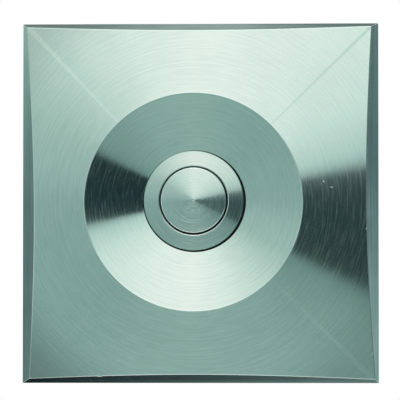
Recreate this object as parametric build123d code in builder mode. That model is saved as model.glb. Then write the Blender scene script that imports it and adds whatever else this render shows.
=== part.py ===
"""Square stainless-steel bell push with a metal push switch in a turned dish.

Frame: X to the right, Z up, the front faces -Y, and the wall is the plane Y = 0. The origin is on the
switch's axis. Heights are measured out from the wall, so a height h lies at Y = -h and what is behind
the wall face has a negative height. All sizes are in millimetres, angles in degrees.
"""

import os
from math import cos, radians, sin, sqrt, tan

from build123d import *

os.makedirs("parts", exist_ok=True)

# Fixing to the wall: a standard flush wall box sets the screw spacing, and the plate follows from it
screw_spacing = 60.0
screw_hole_radius = 2.2
screw_inset = 5.0
sheet = 1.5
wall_plate_gap = 1.0
sheet_corner = 4.0
bend_radius = 0.5
opening_margin = 8.0
tongue_width = 24.0
tongue_reach = 2.0
tongue_back = 1.75
tongue_slope = 35.0
tongue_clearance = 0.2
tongue_end_gap = 0.6
lower_flange_width = 56.0
lower_flange_margin = 1.0
lower_flange_gap = 0.5
sheet_overlap = 5.0

# Face plate: its middle lies right of and below the switch, and its turned front has its own axis below it
side_wall = 3.5
end_wall = 4.85
plate_shift = 1.3
plate_drop = 0.35
turning_drop = 0.25
edge_land = 4.0
side_draft = 26.7
end_draft = 18.5
corner_radius = 0.3
edge_break = 0.15
rim_radius = 24.2
rim_height = 12.0
rim_rounding = 0.3
face_slope = 10.0
dish_slope = 12.0
pocket_corner = 5.0

# Grub screws in the lower edge
grub_radius = 1.5
grub_spacing = 40.0
grub_recess = 0.6
grub_point_hole = 1.0
grub_socket = 1.5
grub_socket_depth = 2.0

# Switch bush, with a thread of 19 mm over its crests
barrel_radius = 9.5
barrel_wall = 1.4
ledge_width = 0.3
flange_overhang = 1.55
flange_edge = 1.9
flange_slope = 8.0
flange_break = 0.2
seat_margin = 0.05
seat_recess = 1.2
hole_clearance = 0.2
lip_thickness = 1.5
barrel_end_margin = 1.2

# Seals
flange_seal_wire = 0.84
button_seal_wire = 1.2
seal_clearance = 0.1

# Washer and nut behind the face plate
washer_thickness = 0.8
washer_width = 2.7
washer_teeth = 16
washer_notch = 1.2
nut_wall = 2.5
nut_thickness = 3.0
thread_clearance = 0.05

# Push button
button_radius = 7.3
button_gap = 0.3
button_travel = 2.0
button_crown = 0.65
button_sink = 0.1
button_break = 0.2
cap_depth = 3.3
cap_spare = 0.5
stem_clearance = 0.15
stem_tail = 1.0

# Snap rings
ring_thickness = 0.8
ring_groove = 0.5
ring_play = 0.05
ring_clearance = 0.6
ring_overhang = 1.2
ring_gap = 50.0
bridge_ring_radius = 1.9
bridge_ring_thickness = 0.4
bridge_ring_groove = 0.3

# Return spring and contact spring
spring_wire = 0.7
spring_turns = 5
spring_pocket = 4.8
spring_space = 0.35
stem_wall = 1.15
contact_spring_radius = 1.6
contact_spring_wire = 0.3
contact_spring_length = 2.15
contact_spring_turns = 4

# Plunger and guide
plunger_radius = 2.0
plunger_depth = 5.2
plunger_clearance = 0.1
plunger_fit = 0.02
shoulder_depth = 0.8
pin_radius = 1.1
pin_tail = 0.5
guide_thickness = 1.6
guide_boss = 0.8
guide_spare = 0.4
insert_clearance = 0.1

# Contacts, base and terminals
strip_thickness = 0.8
strip_width = 5.0
strip_margin = 0.6
strip_clearance = 0.05
pad_margin = 0.3
bridge_thickness = 0.5
bridge_width = 3.0
bridge_overhang = 1.3
tip_radius = 1.1
tip_inset = 1.8
tip_gap = 0.4
tip_height = 0.4
contact_clearance = 0.1
base_floor = 1.8
tail_inset = 1.1
tail_length = 3.0
barrier_thickness = 1.0
barrier_gap = 0.9
tab_length = 6.5
tab_screw_place = 3.2
terminal_screw_radius = 1.25
terminal_head_radius = 2.3
terminal_head_height = 1.6
terminal_slot = 0.6
clamp_thickness = 0.8

# Sizes that follow for the plate and its fixing
pocket_size = screw_spacing + 2 * screw_inset
plate_width = pocket_size + 2 * (side_wall + plate_shift)
plate_height = pocket_size + 2 * (end_wall + plate_drop)
plate_bottom = -plate_height / 2 - plate_drop
wall_plate_half = pocket_size / 2 - wall_plate_gap
grub_height = edge_land / 2
lower_flange_height = grub_height + grub_point_hole + lower_flange_margin
pocket_depth = lower_flange_height + lower_flange_gap
cable_opening = screw_spacing / 2 - opening_margin
flange_radius = barrel_radius + flange_overhang
seat_radius = flange_radius + turning_drop + seat_margin
dish_floor = rim_height - (rim_radius - seat_radius) * tan(radians(dish_slope))
seat_height = dish_floor - seat_recess
opening_radius = button_radius + button_gap

# Heights that follow, from the front of the button back to the terminals
flange_edge_height = seat_height + flange_edge
opening_height = flange_edge_height + (flange_radius - opening_radius) * tan(radians(flange_slope))
button_edge_height = opening_height - button_sink
cap_back = button_edge_height - cap_depth
lip_front = cap_back - button_travel - cap_spare
lip_back = lip_front - lip_thickness
stem_ring_front = lip_back - ring_play
stem_ring_back = stem_ring_front - ring_thickness
stem_back = stem_ring_back - stem_tail
spring_front = stem_back + spring_pocket
guide_front = stem_back - button_travel - guide_boss - guide_spare
guide_back = guide_front - guide_thickness
shoulder_height = guide_front - shoulder_depth
bridge_front = shoulder_height - contact_spring_length
bridge_back = bridge_front - bridge_thickness
bridge_ring_front = bridge_back - ring_play
bridge_ring_back = bridge_ring_front - bridge_ring_thickness
pin_end = bridge_ring_back - pin_tail
fixed_tip_front = bridge_back - tip_height - button_travel - contact_clearance
pad_front = fixed_tip_front - tip_height
pad_back = pad_front - strip_thickness
base_back = pad_back - base_floor
base_ring_back = base_back - ring_thickness
barrel_end = base_ring_back - barrel_end_margin
tail_end = base_back - tail_length
tab_end = tail_end - tab_length
tab_screw_height = tail_end - tab_screw_place

# Radii that follow inside the switch
rear_bore = barrel_radius - barrel_wall
front_bore = rear_bore - ledge_width
stem_ring_outer = front_bore - ring_clearance
stem_radius = stem_ring_outer - ring_overhang
lip_bore = stem_radius + stem_clearance
insert_radius = rear_bore - insert_clearance
spring_room = spring_wire / 2 + spring_space
spring_radius = stem_radius - stem_wall - spring_room
guide_bore = plunger_radius + plunger_clearance
base_ring_outer = rear_bore + ring_groove
tail_radius = rear_bore - tail_inset
tip_place = bridge_ring_radius + tip_gap + tip_radius
strip_outer = tip_place + tip_inset
strip_middle = strip_outer - strip_thickness / 2
pad_reach = tip_inset + tip_radius + pad_margin
chamber_radius = sqrt((strip_outer + strip_margin) ** 2 + (strip_width / 2) ** 2)
head_inner = strip_outer + clamp_thickness

# Half a turned section: local x is the radius, local y the height out from the wall
section = Plane(origin=(0, 0, 0), x_dir=(1, 0, 0), z_dir=(0, 0, -1))

# Plane across the axes of the grub screws, looking up
grub_plane = Plane(origin=(0, -grub_height, 0))


def half_section(*points):
    """A face in the turning plane, from its corners as (radius, height)."""
    with BuildSketch(section) as outline:
        with BuildLine():
            Polyline(*points, close=True)
        make_face()
    return outline.sketch


def rubber_ring(mean_radius, wire, height):
    """A round-section seal at a height."""
    with BuildSketch(section) as outline:
        with Locations((mean_radius, height)):
            Circle(wire / 2)
    return revolve(outline.sketch, axis=Axis.Y)


def snap_ring(inner, outer, front, thickness, gap):
    """A flat open ring whose gap, in degrees, faces down."""
    half_gap = radians(gap / 2)
    with BuildPart() as ring:
        with BuildSketch(Plane.XZ.offset(front)):
            Circle(outer)
            Circle(inner, mode=Mode.SUBTRACT)
            with BuildLine():
                Polyline(
                    (0, 0),
                    (2 * outer * sin(half_gap), -2 * outer * cos(half_gap)),
                    (-2 * outer * sin(half_gap), -2 * outer * cos(half_gap)),
                    close=True,
                )
            make_face(mode=Mode.SUBTRACT)
        extrude(amount=-thickness)
    return ring.part


def coil_spring(mean_radius, wire, back, front, turns):
    """A coil of round wire between two heights."""
    rise = front - back - wire
    with BuildPart() as spring:
        with BuildLine() as path:
            Helix(
                pitch=rise / turns,
                height=rise,
                radius=mean_radius,
                center=(0, -back - wire / 2, 0),
                direction=(0, -1, 0),
            )
        with BuildSketch(Plane(origin=path.line @ 0, z_dir=path.line % 0)):
            Circle(wire / 2)
        sweep()
    return spring.part


# Face plate: a square block with sloping sides, turned to a cone with a dish, hollow at the back
slope_height = rim_height - edge_land
with BuildPart() as face_plate:
    with BuildSketch(Plane.XZ):
        with Locations((plate_shift, -plate_drop)):
            RectangleRounded(plate_width, plate_height, corner_radius)
    extrude(amount=edge_land)
    with BuildSketch(Plane.XZ.offset(edge_land)):
        with Locations((plate_shift, -plate_drop)):
            RectangleRounded(plate_width, plate_height, corner_radius)
    with BuildSketch(Plane.XZ.offset(rim_height)):
        with Locations((plate_shift, -plate_drop)):
            RectangleRounded(
                plate_width - 2 * slope_height * tan(radians(side_draft)),
                plate_height - 2 * slope_height * tan(radians(end_draft)),
                corner_radius,
            )
    loft()
    with BuildSketch(section.offset(turning_drop)) as turned_front:
        with BuildLine():
            Polyline(
                (0, 0),
                (plate_height, 0),
                (plate_height, rim_height - (plate_height - rim_radius) * tan(radians(face_slope))),
                (rim_radius, rim_height),
                (seat_radius, dish_floor),
                (seat_radius, seat_height),
                (0, seat_height),
                close=True,
            )
        make_face()
        fillet(turned_front.vertices().sort_by(Axis.Y)[-1], rim_rounding)
    revolve(axis=Axis((0, 0, -turning_drop), (0, 1, 0)), mode=Mode.INTERSECT)
    face_cone = face_plate.faces().filter_by(GeomType.CONE).sort_by(SortBy.AREA)[-1]
    chamfer(face_cone.outer_wire().edges(), edge_break)
    with BuildSketch(Plane.XZ):
        RectangleRounded(pocket_size, pocket_size, pocket_corner)
    extrude(amount=pocket_depth, mode=Mode.SUBTRACT)
    with BuildSketch(Plane.XZ):
        Circle(barrel_radius + hole_clearance)
    extrude(amount=rim_height, mode=Mode.SUBTRACT)
    with BuildSketch(Plane.XZ.offset(tongue_back - tongue_clearance)):
        with Locations((0, pocket_size / 2)):
            Rectangle(
                tongue_width + 2 * tongue_clearance,
                2 * (tongue_reach + tongue_end_gap),
            )
    extrude(amount=sheet + 2 * tongue_clearance, mode=Mode.SUBTRACT)
    with BuildSketch(grub_plane.offset(-pocket_size / 2)):
        with GridLocations(grub_spacing, 1, 2, 1):
            Circle(grub_radius + thread_clearance)
    extrude(amount=-plate_height / 2, mode=Mode.SUBTRACT)
face_plate.part.label = "face_plate"
export_step(face_plate.part, "parts/face_plate.step")

# Wall plate: sheet with two screw holes, a lower flange for the grub screws and a joggled tongue on top
sheet_bottom = -wall_plate_half + sheet + bend_radius
joggle_start = cable_opening + sheet_overlap
joggle_end = joggle_start + tongue_back / tan(radians(tongue_slope))
bend_set = sheet * tan(radians(tongue_slope / 2))
with BuildPart() as wall_plate:
    with BuildSketch(Plane.XZ) as blank:
        with BuildLine():
            Polyline(
                (-wall_plate_half, sheet_bottom),
                (wall_plate_half, sheet_bottom),
                (wall_plate_half, joggle_start),
                (-wall_plate_half, joggle_start),
                close=True,
            )
        make_face()
        fillet(blank.vertices(), sheet_corner)
        Circle(cable_opening, mode=Mode.SUBTRACT)
        with GridLocations(screw_spacing, 1, 2, 1):
            Circle(screw_hole_radius, mode=Mode.SUBTRACT)
    extrude(amount=sheet)
    with BuildSketch(Plane.YZ) as bend:
        with BuildLine():
            Polyline(
                (0, sheet_bottom + sheet_overlap),
                (0, -wall_plate_half),
                (-lower_flange_height, -wall_plate_half),
                (-lower_flange_height, -wall_plate_half + sheet),
                (-sheet, -wall_plate_half + sheet),
                (-sheet, sheet_bottom + sheet_overlap),
                close=True,
            )
        make_face()
        fillet(bend.vertices().sort_by_distance((0, -wall_plate_half))[0], bend_radius + sheet)
        fillet(bend.vertices().sort_by_distance((-sheet, -wall_plate_half + sheet))[0], bend_radius)
    extrude(amount=lower_flange_width / 2, both=True)
    with BuildSketch(Plane.YZ):
        with BuildLine():
            Polyline(
                (0, cable_opening),
                (0, joggle_start),
                (-tongue_back, joggle_end),
                (-tongue_back, pocket_size / 2 + tongue_reach),
                (-tongue_back - sheet, pocket_size / 2 + tongue_reach),
                (-tongue_back - sheet, joggle_end - bend_set),
                (-sheet, joggle_start - bend_set),
                (-sheet, cable_opening),
                close=True,
            )
        make_face()
    extrude(amount=tongue_width / 2, both=True)
    with BuildSketch(Plane.XZ):
        Circle(cable_opening)
    extrude(amount=sheet, mode=Mode.SUBTRACT)
    with BuildSketch(grub_plane.offset(-wall_plate_half + sheet)):
        with GridLocations(grub_spacing, 1, 2, 1):
            Circle(grub_point_hole)
    extrude(amount=-2 * sheet, mode=Mode.SUBTRACT)
wall_plate.part.label = "wall_plate"
export_step(wall_plate.part, "parts/wall_plate.step")

# Grub screws: cone points in the holes of the wall plate's flange, hexagon sockets in the lower edge
grub_point_base = -wall_plate_half - (grub_radius - grub_point_hole) - thread_clearance
grub_end = plate_bottom + grub_recess
with BuildPart() as grub_screws:
    with BuildSketch(grub_plane.offset(grub_end)):
        with GridLocations(grub_spacing, 1, 2, 1):
            Circle(grub_radius)
    extrude(amount=grub_point_base - grub_end)
    with Locations(grub_plane.offset(grub_point_base)):
        with GridLocations(grub_spacing, 1, 2, 1):
            Cone(grub_radius, 0, grub_radius, align=(Align.CENTER, Align.CENTER, Align.MIN))
    with BuildSketch(grub_plane.offset(grub_end)):
        with GridLocations(grub_spacing, 1, 2, 1):
            RegularPolygon(grub_socket / 2, 6, major_radius=False)
    extrude(amount=grub_socket_depth, mode=Mode.SUBTRACT)
grub_screws.part.label = "grub_screws"
export_step(grub_screws.part, "parts/grub_screws.step")

# Switch bush: flange with a cone-shaped front, threaded barrel, lip for the button, snap ring groove
seal_groove_inner = (barrel_radius + flange_radius - flange_seal_wire) / 2 - seal_clearance
seal_groove_outer = (barrel_radius + flange_radius + flange_seal_wire) / 2 + seal_clearance
seal_groove_top = seat_height + flange_seal_wire + seal_clearance
with BuildPart() as switch_bush:
    revolve(
        half_section(
            (opening_radius, opening_height - flange_break),
            (opening_radius + flange_break, opening_height - flange_break * tan(radians(flange_slope))),
            (flange_radius - flange_break, flange_edge_height + flange_break * tan(radians(flange_slope))),
            (flange_radius, flange_edge_height - flange_break),
            (flange_radius, seat_height),
            (seal_groove_outer, seat_height),
            (seal_groove_outer, seal_groove_top),
            (seal_groove_inner, seal_groove_top),
            (seal_groove_inner, seat_height),
            (barrel_radius, seat_height),
            (barrel_radius, barrel_end),
            (rear_bore, barrel_end),
            (rear_bore, base_ring_back - ring_play),
            (base_ring_outer + ring_play, base_ring_back - ring_play),
            (base_ring_outer + ring_play, base_back + ring_play),
            (rear_bore, base_back + ring_play),
            (rear_bore, guide_front),
            (front_bore, guide_front),
            (front_bore, lip_back),
            (lip_bore, lip_back),
            (lip_bore, lip_front),
            (opening_radius, lip_front),
        ),
        axis=Axis.Y,
    )
switch_bush.part.label = "switch_bush"
export_step(switch_bush.part, "parts/switch_bush.step")

# Flange seal, in its groove between the flange and the face plate
flange_seal = rubber_ring(
    (barrel_radius + flange_radius) / 2,
    flange_seal_wire,
    seat_height + (flange_seal_wire + seal_clearance) / 2,
)
flange_seal.label = "flange_seal"
export_step(flange_seal, "parts/flange_seal.step")

# Lock washer: a toothed ring against the floor of the pocket
with BuildPart() as lock_washer:
    with BuildSketch(Plane.XZ.offset(pocket_depth)):
        Circle(barrel_radius + hole_clearance + washer_width)
        Circle(barrel_radius + hole_clearance, mode=Mode.SUBTRACT)
        with PolarLocations(barrel_radius + hole_clearance + washer_width, washer_teeth):
            Rectangle(washer_width, washer_notch, mode=Mode.SUBTRACT)
    extrude(amount=-washer_thickness)
lock_washer.part.label = "lock_washer"
export_step(lock_washer.part, "parts/lock_washer.step")

# Lock nut: a thin hexagon with its corners turned off on the side away from the washer
nut_front = pocket_depth - washer_thickness
nut_back = nut_front - nut_thickness
nut_half = barrel_radius + nut_wall
nut_corner = nut_half / cos(radians(30))
with BuildPart() as lock_nut:
    with BuildSketch(Plane.XZ.offset(nut_front)):
        RegularPolygon(nut_half, 6, major_radius=False)
        Circle(barrel_radius + thread_clearance, mode=Mode.SUBTRACT)
    extrude(amount=-nut_thickness)
    revolve(
        half_section(
            (0, nut_front),
            (nut_corner, nut_front),
            (nut_corner, nut_back + (nut_corner - nut_half) * tan(radians(30))),
            (nut_half, nut_back),
            (0, nut_back),
        ),
        axis=Axis.Y,
        mode=Mode.INTERSECT,
    )
lock_nut.part.label = "lock_nut"
export_step(lock_nut.part, "parts/lock_nut.step")

# Push button: domed cap, seal groove, hollow stem for the return spring, hole for the plunger
crown_height = button_edge_height + button_crown
seal_height = (button_edge_height - button_break + cap_back) / 2
seal_groove = button_radius + button_gap - seal_clearance - button_seal_wire
with BuildPart() as push_button:
    with BuildSketch(section) as outline:
        with BuildLine():
            TangentArc((0, crown_height), (button_radius, button_edge_height), tangent=(1, 0))
            Polyline(
                (button_radius, button_edge_height),
                (button_radius, cap_back),
                (stem_radius, cap_back),
                (stem_radius, stem_back),
                (0, stem_back),
                (0, crown_height),
            )
        make_face()
        front_corner = outline.vertices().sort_by_distance((button_radius, button_edge_height))[0]
        chamfer(front_corner, button_break)
    revolve(axis=Axis.Y)
    revolve(
        half_section(
            (seal_groove - seal_clearance, seal_height - button_seal_wire / 2 - seal_clearance),
            (button_radius + button_gap, seal_height - button_seal_wire / 2 - seal_clearance),
            (button_radius + button_gap, seal_height + button_seal_wire / 2 + seal_clearance),
            (seal_groove - seal_clearance, seal_height + button_seal_wire / 2 + seal_clearance),
        ),
        axis=Axis.Y,
        mode=Mode.SUBTRACT,
    )
    revolve(
        half_section(
            (stem_radius - ring_groove, stem_ring_back),
            (stem_radius + ring_groove, stem_ring_back),
            (stem_radius + ring_groove, stem_ring_front),
            (stem_radius - ring_groove, stem_ring_front),
        ),
        axis=Axis.Y,
        mode=Mode.SUBTRACT,
    )
    with BuildSketch(Plane.XZ.offset(stem_back)):
        Circle(spring_radius + spring_room)
        Circle(spring_radius - spring_room, mode=Mode.SUBTRACT)
    extrude(amount=spring_pocket, mode=Mode.SUBTRACT)
    with BuildSketch(Plane.XZ.offset(stem_back)):
        Circle(plunger_radius + plunger_fit)
    extrude(amount=plunger_depth, mode=Mode.SUBTRACT)
push_button.part.label = "push_button"
export_step(push_button.part, "parts/push_button.step")

# Button seal, in its groove round the cap
button_seal = rubber_ring(seal_groove + button_seal_wire / 2, button_seal_wire, seal_height)
button_seal.label = "button_seal"
export_step(button_seal, "parts/button_seal.step")

# Button clip, in the groove of the stem behind the lip
button_clip = snap_ring(
    stem_radius - ring_groove + plunger_fit,
    stem_ring_outer,
    stem_ring_front,
    ring_thickness,
    ring_gap,
)
button_clip.label = "button_clip"
export_step(button_clip, "parts/button_clip.step")

# Return spring, from the guide plate to the end of its groove in the stem
return_spring = coil_spring(spring_radius, spring_wire, guide_front, spring_front, spring_turns)
return_spring.label = "return_spring"
export_step(return_spring, "parts/return_spring.step")

# Plunger: a rod pressed into the stem, with a thin pin for the bridge
bridge_ring_seat = pin_radius - bridge_ring_groove
with BuildPart() as plunger:
    revolve(
        half_section(
            (0, stem_back + plunger_depth),
            (plunger_radius, stem_back + plunger_depth),
            (plunger_radius, shoulder_height),
            (pin_radius, shoulder_height),
            (pin_radius, bridge_ring_front),
            (bridge_ring_seat, bridge_ring_front),
            (bridge_ring_seat, bridge_ring_back),
            (pin_radius, bridge_ring_back),
            (pin_radius, pin_end),
            (0, pin_end),
        ),
        axis=Axis.Y,
    )
plunger.part.label = "plunger"
export_step(plunger.part, "parts/plunger.step")

# Contact spring, on the pin between the plunger's shoulder and the bridge
contact_spring = coil_spring(
    contact_spring_radius,
    contact_spring_wire,
    bridge_front,
    shoulder_height,
    contact_spring_turns,
)
contact_spring.label = "contact_spring"
export_step(contact_spring, "parts/contact_spring.step")

# Contact bridge: a strip with round ends that slides on the pin
with BuildPart() as contact_bridge:
    with BuildSketch(Plane.XZ.offset(bridge_front)):
        SlotOverall(2 * (tip_place + bridge_overhang), bridge_width)
        Circle(pin_radius + plunger_clearance, mode=Mode.SUBTRACT)
    extrude(amount=-bridge_thickness)
contact_bridge.part.label = "contact_bridge"
export_step(contact_bridge.part, "parts/contact_bridge.step")

# Bridge clip, in the groove of the pin
bridge_clip = snap_ring(
    bridge_ring_seat + plunger_fit,
    bridge_ring_radius,
    bridge_ring_front,
    bridge_ring_thickness,
    ring_gap,
)
bridge_clip.label = "bridge_clip"
export_step(bridge_clip, "parts/bridge_clip.step")

# Silver tips, two on the bridge and two on the fixed contacts
for name, tip_front in (("bridge_tips", bridge_back), ("fixed_tips", fixed_tip_front)):
    with BuildPart() as tips:
        with BuildSketch(Plane.XZ.offset(tip_front)):
            with GridLocations(2 * tip_place, 1, 2, 1):
                Circle(tip_radius)
        extrude(amount=-tip_height)
    tips.part.label = name
    export_step(tips.part, f"parts/{name}.step")

# Guide plate: a disc against the ledge of the bush, with a boss that centres the spring
guide_boss_radius = spring_radius - spring_room
with BuildPart() as guide_plate:
    revolve(
        half_section(
            (guide_bore, guide_back),
            (insert_radius, guide_back),
            (insert_radius, guide_front),
            (guide_boss_radius, guide_front),
            (guide_boss_radius, guide_front + guide_boss),
            (guide_bore, guide_front + guide_boss),
        ),
        axis=Axis.Y,
    )
guide_plate.part.label = "guide_plate"
export_step(guide_plate.part, "parts/guide_plate.step")

# Contact base: a cup with two slots for the strips, and a barrier between the screws behind
with BuildPart() as contact_base:
    revolve(
        half_section(
            (0, pad_back),
            (chamber_radius, pad_back),
            (chamber_radius, guide_back),
            (insert_radius, guide_back),
            (insert_radius, base_back),
            (tail_radius, base_back),
            (tail_radius, tail_end),
            (0, tail_end),
        ),
        axis=Axis.Y,
    )
    with BuildSketch(Plane.XZ.offset(tail_end)):
        Rectangle(barrier_thickness, 2 * terminal_head_radius + strip_width)
    extrude(amount=-tab_length)
    with BuildSketch(Plane.XZ.offset(pad_back)):
        with GridLocations(2 * strip_middle, 1, 2, 1):
            Rectangle(strip_thickness + 2 * strip_clearance, strip_width + 2 * strip_clearance)
    extrude(amount=tail_end - pad_back, mode=Mode.SUBTRACT)
contact_base.part.label = "contact_base"
export_step(contact_base.part, "parts/contact_base.step")

# Base clip, in the groove of the bush behind the base
base_clip = snap_ring(
    tail_radius + insert_clearance,
    base_ring_outer,
    base_back,
    ring_thickness,
    ring_gap,
)
base_clip.label = "base_clip"
export_step(base_clip, "parts/base_clip.step")

# Terminals: a strip bent to a contact pad inside, with a tapped tab outside
for name, side in (("left_terminal", -1), ("right_terminal", 1)):
    with BuildPart() as terminal:
        with BuildSketch(section):
            with BuildLine():
                Polyline(
                    (side * (strip_outer - pad_reach), pad_front),
                    (side * strip_outer, pad_front),
                    (side * strip_outer, tab_end),
                    (side * (strip_outer - strip_thickness), tab_end),
                    (side * (strip_outer - strip_thickness), pad_back),
                    (side * (strip_outer - pad_reach), pad_back),
                    close=True,
                )
            make_face()
        extrude(amount=strip_width / 2, both=True)
        with BuildSketch(Plane.YZ.offset(side * strip_middle)):
            with Locations((-tab_screw_height, 0)):
                Circle(terminal_screw_radius + thread_clearance)
        extrude(amount=strip_thickness, both=True, mode=Mode.SUBTRACT)
    terminal.part.label = name
    export_step(terminal.part, f"parts/{name}.step")

# Wire clamps: square washers between the tabs and the screw heads
with BuildPart() as wire_clamps:
    for side in (-1, 1):
        with BuildSketch(Plane.YZ.offset(side * strip_outer)):
            with Locations((-tab_screw_height, 0)):
                Rectangle(strip_width, strip_width)
                Circle(terminal_screw_radius + thread_clearance, mode=Mode.SUBTRACT)
        extrude(amount=side * clamp_thickness)
wire_clamps.part.label = "wire_clamps"
export_step(wire_clamps.part, "parts/wire_clamps.step")

# Terminal screws: slotted pan heads outside the clamps
screw_reach = head_inner - barrier_thickness / 2 - barrier_gap
with BuildPart() as terminal_screws:
    for side in (-1, 1):
        with BuildSketch(Plane.YZ.offset(side * head_inner)):
            with Locations((-tab_screw_height, 0)):
                Circle(terminal_screw_radius)
        extrude(amount=-side * screw_reach)
        with BuildSketch(Plane.YZ.offset(side * head_inner)):
            with Locations((-tab_screw_height, 0)):
                Circle(terminal_head_radius)
        extrude(amount=side * terminal_head_height)
        with BuildSketch(Plane.YZ.offset(side * (head_inner + terminal_head_height / 2))):
            with Locations((-tab_screw_height, 0)):
                Rectangle(3 * terminal_head_radius, terminal_slot)
        extrude(amount=side * terminal_head_height, mode=Mode.SUBTRACT)
terminal_screws.part.label = "terminal_screws"
export_step(terminal_screws.part, "parts/terminal_screws.step")
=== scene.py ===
from math import cos, pi, radians, sin, tan

import bmesh
import bpy
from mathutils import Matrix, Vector


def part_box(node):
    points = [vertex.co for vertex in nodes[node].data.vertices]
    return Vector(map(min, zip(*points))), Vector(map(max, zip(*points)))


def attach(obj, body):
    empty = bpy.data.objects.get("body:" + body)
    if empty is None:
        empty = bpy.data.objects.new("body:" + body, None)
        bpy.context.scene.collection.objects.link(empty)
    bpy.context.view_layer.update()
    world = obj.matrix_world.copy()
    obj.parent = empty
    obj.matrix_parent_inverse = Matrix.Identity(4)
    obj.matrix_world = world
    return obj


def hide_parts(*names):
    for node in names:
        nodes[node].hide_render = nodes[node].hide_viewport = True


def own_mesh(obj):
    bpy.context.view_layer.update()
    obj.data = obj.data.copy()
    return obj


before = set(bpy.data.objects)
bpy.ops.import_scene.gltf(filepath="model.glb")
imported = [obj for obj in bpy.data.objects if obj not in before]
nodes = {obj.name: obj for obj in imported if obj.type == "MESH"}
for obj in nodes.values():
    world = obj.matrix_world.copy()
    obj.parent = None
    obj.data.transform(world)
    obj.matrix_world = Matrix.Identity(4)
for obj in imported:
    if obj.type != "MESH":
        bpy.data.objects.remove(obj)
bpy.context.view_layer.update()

# Face plate: a solid square of stainless steel. Its front is turned to a flat cone with a dish in the
# middle, its four sides are ground to a slope, and its back is milled hollow for the nut and wall plate.
plate_low, plate_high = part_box("face_plate")
flange_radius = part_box("switch_bush")[1].x
rim_radius = 0.0242
rim_height = 0.012
rim_break = 0.00016
rim_slope = tan(radians(20))
face_slope = tan(radians(10))
dish_slope = tan(radians(12))
blank_margin = 1.08
edge_land = 0.004
side_draft = radians(26.7)
end_drafts = {-1: radians(19.9), 1: radians(19.2)}
side_lean = radians(0.49)
corner_radius = 0.00006
edge_break = 0.00012
turning_drop = 0.00035
seat_gap = 0.0003
seat_radius = flange_radius + seat_gap
seat_recess = 0.0012
joint_gap = 0.00027
joint_radius = flange_radius + joint_gap
joint_stretch = 1.011
joint_shift = (0.00017, 0, 0.00023)
bush_hole = 0.0097
pocket_half = 0.035
pocket_depth = 0.0045
pocket_corner = 0.005
tongue_slot_width = 0.0244
tongue_slot_heights = (0.00155, 0.00345)
tongue_slot_reach = 0.0026
grub_hole = 0.00155
grub_places = (-0.02, 0.02)
grub_height = 0.002
slack = 0.0001


def half_section(name, corner, moves):
    """Draws a line in edit mode, from a (radius, height) corner by moves outwards and to the front."""
    bpy.ops.object.select_all(action="DESELECT")
    bpy.ops.mesh.primitive_plane_add(size=0.001, location=(corner[0], -corner[1], 0))
    piece = bpy.context.object
    piece.name = name
    bpy.ops.object.transform_apply()
    bpy.ops.object.mode_set(mode="EDIT")
    bpy.ops.mesh.select_mode(type="VERT")
    bpy.ops.mesh.select_all(action="SELECT")
    bpy.ops.mesh.merge(type="CENTER")
    for out, ahead in moves:
        bpy.ops.mesh.extrude_vertices_move(TRANSFORM_OT_translate={"value": (out, -ahead, 0)})
    bpy.ops.mesh.select_all(action="SELECT")
    return piece


def close_up():
    """Turns the faces of an open piece outwards and leaves it."""
    bpy.ops.mesh.select_all(action="SELECT")
    bpy.ops.mesh.normals_make_consistent(inside=False)
    bpy.ops.object.mode_set(mode="OBJECT")


def turn(name, corners, steps):
    """Turns a half section, given as (radius, height) corners, round the switch's axis."""
    moves = [(end[0] - start[0], end[1] - start[1]) for start, end in zip(corners, corners[1:])]
    piece = half_section(name, corners[0], moves)
    bpy.ops.mesh.spin(steps=steps, angle=2 * pi, center=(0, 0, 0), axis=(0, 1, 0))
    bpy.ops.mesh.select_all(action="SELECT")
    bpy.ops.mesh.remove_doubles(threshold=1e-6)
    close_up()
    return piece


def choose(piece):
    """Selects one piece and nothing else."""
    bpy.ops.object.select_all(action="DESELECT")
    piece.select_set(True)
    bpy.context.view_layer.objects.active = piece


def edit(piece):
    """Opens one piece for editing, with all of it selected."""
    choose(piece)
    bpy.ops.object.mode_set(mode="EDIT")
    bpy.ops.mesh.select_all(action="SELECT")


def slice_off(point, normal):
    """Cuts an open piece along a plane, closes the cut and drops what lies beyond."""
    bpy.ops.mesh.select_all(action="SELECT")
    bpy.ops.mesh.bisect(plane_co=point, plane_no=normal, use_fill=True, clear_outer=True, threshold=1e-7)


def pick_edges(piece, wanted):
    """Selects the edges of an open piece that a test picks, and nothing else."""
    bpy.ops.mesh.select_mode(type="EDGE")
    bpy.ops.mesh.select_all(action="DESELECT")
    work = bmesh.from_edit_mesh(piece.data)
    for edge in work.edges:
        if len(edge.link_faces) == 2 and wanted(edge):
            edge.select_set(True)
    bmesh.update_edit_mesh(piece.data)


def block(name, low, high):
    """A box between two corners, for cutting."""
    bpy.ops.object.select_all(action="DESELECT")
    middle = [(a + b) / 2 for a, b in zip(low, high)]
    bpy.ops.mesh.primitive_cube_add(size=1, location=middle)
    bpy.context.object.name = name
    bpy.context.object.scale = [b - a for a, b in zip(low, high)]
    bpy.ops.object.transform_apply()
    return bpy.context.object


def cut(piece, cutter, operation="DIFFERENCE"):
    """Takes one shape out of a piece, or keeps what both share, and throws the cutter away."""
    choose(piece)
    bpy.ops.object.modifier_add(type="BOOLEAN")
    change = piece.modifiers[-1]
    change.operation = operation
    change.solver = "EXACT"
    change.object = cutter
    bpy.ops.object.modifier_apply(modifier=change.name)
    bpy.data.objects.remove(cutter)


def smooth(piece, angle=7):
    """Shades a piece smooth, apart from edges sharper than an angle in degrees."""
    choose(piece)
    bpy.ops.object.shade_smooth_by_angle(angle=radians(angle))


def stand_for(piece, node, body, slot, *finishes):
    """Gives a piece its finishes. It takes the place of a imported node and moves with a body."""
    for finish in finishes:
        piece.data.materials.append(finish)
    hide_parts(node)
    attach(piece, body)


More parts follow.
